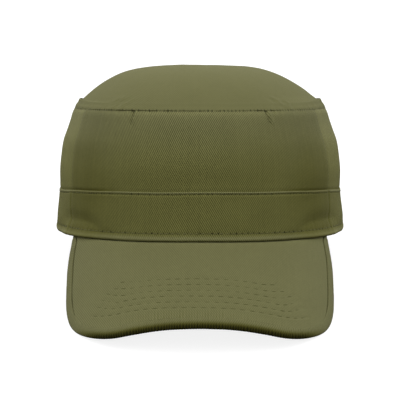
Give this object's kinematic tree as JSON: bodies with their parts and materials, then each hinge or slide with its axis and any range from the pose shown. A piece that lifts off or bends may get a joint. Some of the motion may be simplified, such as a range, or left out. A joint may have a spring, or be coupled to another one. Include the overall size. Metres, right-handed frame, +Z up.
{
  "type": "patrol cap",
  "caption": "Soft cotton cap with an upright oval crown, a domed top, a band round the head opening and a curved, bound peak.",
  "frame": {"origin": "on the surface that the cap rests on, under the middle of its outline", "axes": "+Z up, -Y the way the peak points, +X to the right as seen from the front"},
  "size_m": [0.177, 0.265, 0.1295],
  "materials": {
    "crown_twill": "matt olive cotton twill",
    "top_twill": "matt olive cotton twill",
    "band_twill": "matt olive cotton twill",
    "peak_twill": "matt olive cotton twill over a stiff board"
  },
  "bodies": {
    "root": {"crown_top": "top_twill", "crown_front": "crown_twill", "crown_left": "crown_twill", "crown_right": "crown_twill", "band_front": "band_twill", "band_left": "band_twill", "band_right": "band_twill", "peak": "peak_twill", "peak_binding": "peak_twill"}
  },
  "joints": []
}
